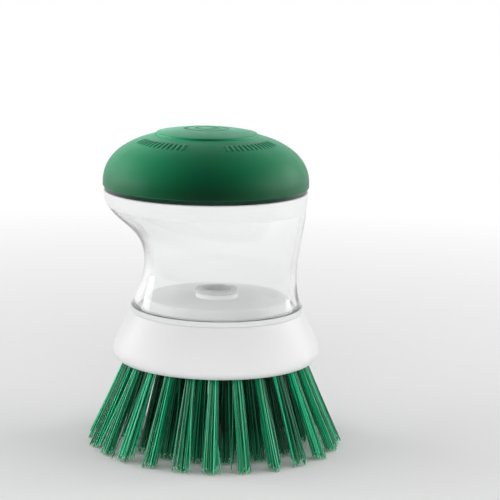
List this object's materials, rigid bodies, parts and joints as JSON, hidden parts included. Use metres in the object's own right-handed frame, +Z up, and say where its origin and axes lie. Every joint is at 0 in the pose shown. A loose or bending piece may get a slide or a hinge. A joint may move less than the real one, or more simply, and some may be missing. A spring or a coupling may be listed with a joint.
{
  "type": "palm brush",
  "caption": "Round hand brush with a leaning clear soap reservoir, a pressable rubber screw cap, a slit valve in its floor and a ring of splayed bristle tufts under a flared skirt.",
  "frame": {"origin": "on the brush axis, in the plane of the bristle tips that the brush stands on", "axes": "+Z up along the brush axis, +X from the finger side, where the cap overhangs, to the palm side; the cap's axis is parallel to Z, 4.4 mm towards -X"},
  "size_m": [0.0926, 0.0924, 0.1119],
  "materials": {
    "rubber_top": "satin",
    "cap_ring": "satin",
    "clear_plastic": "polished, clear",
    "white_plastic": "semi-gloss",
    "bristle": "satin filament",
    "silicone": "matte, translucent",
    "seal_rubber": "matte, natural white"
  },
  "bodies": {
    "base": {"reservoir": "clear_plastic", "skirt": "white_plastic", "tuft_block": "white_plastic", "outer_tufts": "bristle", "second_tufts": "bristle", "third_tufts": "bristle", "inner_tufts": "bristle", "floor_plate": "white_plastic", "floor_seal": "seal_rubber", "valve_rim": "silicone", "valve_sleeve": "silicone", "valve_retainer": "white_plastic"},
    "seal": {"cap_gasket": "seal_rubber"},
    "cap": {"cap_ring": "cap_ring", "rubber_wall": "rubber_top", "rubber_web": "rubber_top"},
    "press": {"rubber_pad": "rubber_top"},
    "valve": {"valve_head": "silicone"}
  },
  "joints": [
    {"name": "cap_rise", "type": "slide", "parent": "base", "child": "seal", "axis": [0, 0, 1], "range_m": [0, 0.016]},
    {"name": "cap_twist", "type": "hinge", "parent": "seal", "child": "cap", "pos_m": [-0.0044, 0, 0.0984], "axis": [0, 0, 1], "range_deg": [0, 720]},
    {"name": "top_press", "type": "slide", "parent": "cap", "child": "press", "axis": [0, 0, -1], "range_m": [0, 0.005], "stiffness_N_per_m": 3000, "deforming": ["rubber_web"]},
    {"name": "valve_shift", "type": "slide", "parent": "base", "child": "valve", "axis": [0, 0, -1], "range_m": [0, 0.0012], "deforming": ["valve_sleeve"]}
  ],
  "couplings": [
    {"joint": "cap_rise", "follows": "cap_twist", "m_per_rad": 0.0012732},
    {"joint": "valve_shift", "follows": "top_press", "ratio": 0.24}
  ]
}
